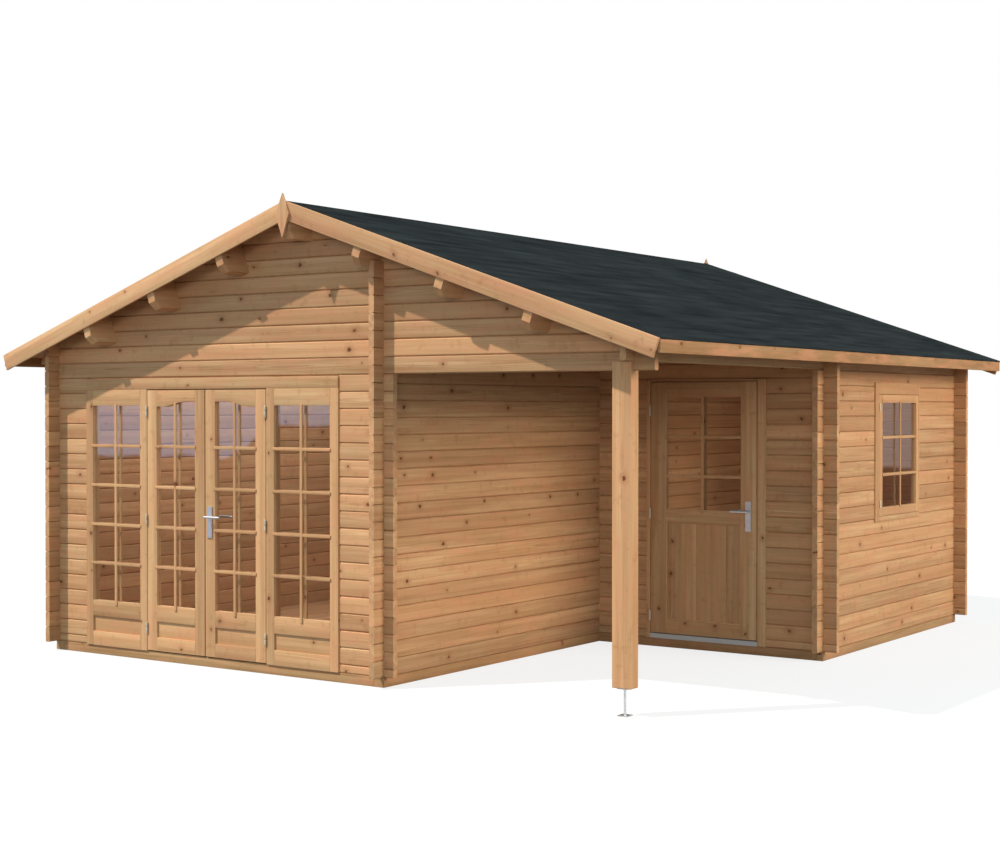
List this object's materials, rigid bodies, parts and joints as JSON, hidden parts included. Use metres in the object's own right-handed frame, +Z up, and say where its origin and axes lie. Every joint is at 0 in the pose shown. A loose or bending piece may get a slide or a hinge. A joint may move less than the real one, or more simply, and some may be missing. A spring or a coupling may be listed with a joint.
{
  "type": "log cabin with porch and store room",
  "caption": "Gabled log cabin with crossed log corners, glazed double doors, an open porch on a post, and a store room with a half-glazed door and a window.",
  "frame": {"origin": "on the ground under the middle of the roof", "axes": "+X to the right along the front, +Y to the back along the ridge, +Z up"},
  "size_m": [5.7, 6.034, 3.266],
  "materials": {
    "log_wood": "planed and oiled spruce, matte",
    "joinery_wood": "planed and oiled spruce, satin",
    "trim_wood": "planed and oiled spruce, matte",
    "roof_felt": "mineral-dusted bitumen felt, matte",
    "zinc": "satin zinc",
    "pane_glass": "clear polished"
  },
  "bodies": {
    "cabin": {"main_foundation": "log_wood", "store_foundation": "log_wood", "main_floor": "log_wood", "store_floor": "log_wood", "left_wall": "log_wood", "back_wall": "log_wood", "dividing_wall": "log_wood", "front_wall_left": "log_wood", "front_wall_right": "log_wood", "front_gable": "log_wood", "store_wall_left": "log_wood", "store_wall_right": "log_wood", "store_wall_head": "log_wood", "right_wall_front": "log_wood", "right_wall_rear": "log_wood", "right_wall_base": "log_wood", "right_wall_head": "log_wood", "right_eave_beam": "log_wood", "ridge_beam": "log_wood", "purlins": "log_wood", "left_roof_deck": "log_wood", "right_roof_deck": "log_wood", "porch_post": "log_wood", "left_barge_boards": "trim_wood", "right_barge_boards": "trim_wood", "eave_fascias": "trim_wood", "finials": "trim_wood", "left_roof_felt": "roof_felt", "right_roof_felt": "roof_felt", "front_door_head": "joinery_wood", "front_threshold": "joinery_wood", "left_side_light": "joinery_wood", "right_side_light": "joinery_wood", "store_door_jambs": "joinery_wood", "store_door_head": "joinery_wood", "window_frame": "joinery_wood", "post_foot": "zinc", "store_threshold": "zinc", "frame_hinges": "zinc", "side_light_glass": "pane_glass", "window_glass": "pane_glass"},
    "left_door": {"left_leaf": "joinery_wood", "left_leaf_glass": "pane_glass", "left_leaf_hinges": "zinc"},
    "right_door": {"right_leaf": "joinery_wood", "right_leaf_glass": "pane_glass", "right_leaf_hinges": "zinc", "right_leaf_handle": "zinc"},
    "store_door_leaf": {"store_door": "joinery_wood", "store_door_glass": "pane_glass", "store_door_hinges": "zinc", "store_door_handle": "zinc"}
  },
  "joints": [
    {"name": "left_door_hinge", "type": "hinge", "parent": "cabin", "child": "left_door", "pos_m": [-1.5435, -2.767, 1.03], "axis": [0, 0, -1], "range_deg": [0, 110]},
    {"name": "right_door_hinge", "type": "hinge", "parent": "cabin", "child": "right_door", "pos_m": [-0.3835, -2.767, 1.03], "axis": [0, 0, 1], "range_deg": [0, 110]},
    {"name": "store_door_hinge", "type": "hinge", "parent": "cabin", "child": "store_door_leaf", "pos_m": [1.114, -0.042, 1.03], "axis": [0, 0, -1], "range_deg": [0, 110]}
  ]
}
